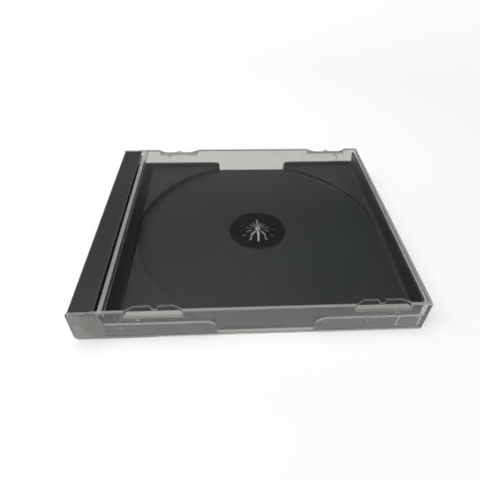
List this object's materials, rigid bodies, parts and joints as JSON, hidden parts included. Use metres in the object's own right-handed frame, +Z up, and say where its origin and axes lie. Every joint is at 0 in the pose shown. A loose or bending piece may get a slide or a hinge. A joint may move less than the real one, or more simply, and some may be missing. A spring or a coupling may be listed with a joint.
{
  "type": "video game disc case",
  "caption": "Closed thick disc case: clear hinged lid with booklet tabs over a black tray with a finger hub, set in a clear base.",
  "frame": {"origin": "centre of the closed case's footprint, on the underside of the base", "axes": "+X from the hinge side to the opening side, +Y towards the back side, +Z up through the lid"},
  "size_m": [0.142, 0.125, 0.0165],
  "materials": {
    "clear_base": "clear polished polystyrene",
    "black_tray": "black satin polystyrene, lightly glossy",
    "clear_lid": "clear polished polystyrene"
  },
  "bodies": {
    "base": {"base": "clear_base", "tray": "black_tray"},
    "lid": {"lid": "clear_lid"}
  },
  "joints": [
    {"name": "lid_hinge", "type": "hinge", "parent": "base", "child": "lid", "pos_m": [-0.0678, 0, 0.00825], "axis": [0, -1, 0], "range_deg": [0, 180]}
  ]
}
